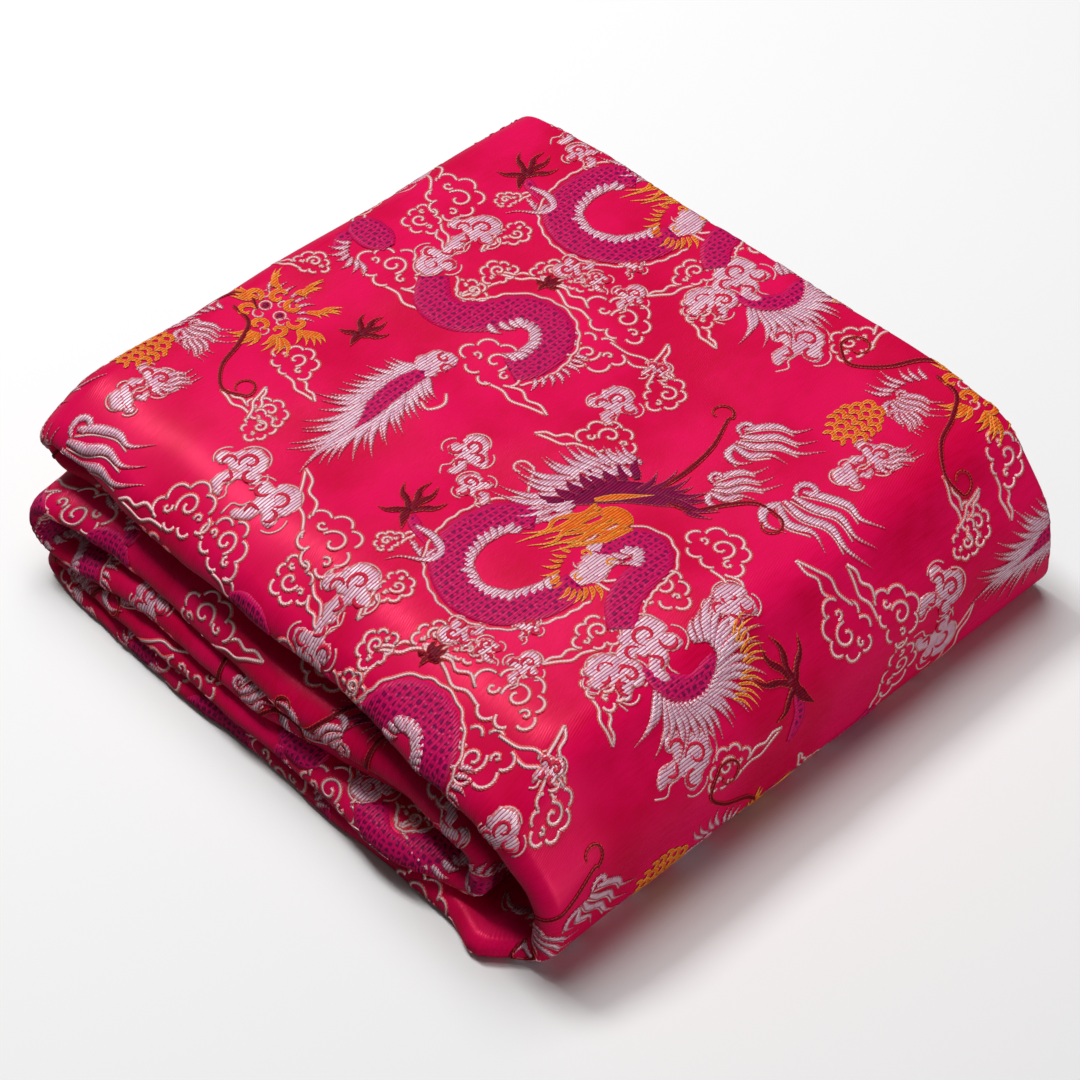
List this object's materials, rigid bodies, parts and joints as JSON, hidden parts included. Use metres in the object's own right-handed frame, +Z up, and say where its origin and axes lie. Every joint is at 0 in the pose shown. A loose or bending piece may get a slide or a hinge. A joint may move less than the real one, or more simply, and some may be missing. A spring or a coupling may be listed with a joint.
{
  "type": "folded brocade fabric",
  "caption": "Cut length of patterned silk-look brocade, folded into a soft square pack that lies flat on a shelf or table.",
  "frame": {"origin": "middle of the pack's footprint, on the surface it lies on", "axes": "+X along the side that shows the fold ridges, towards the smooth wrapped end; +Y inwards from the ridges; +Z up"},
  "size_m": [0.267, 0.2574, 0.0738],
  "materials": {
    "brocade": "crimson satin ground with raised silver, magenta and orange brocading"
  },
  "bodies": {
    "root": {"brocade_cloth": "brocade"}
  },
  "joints": []
}
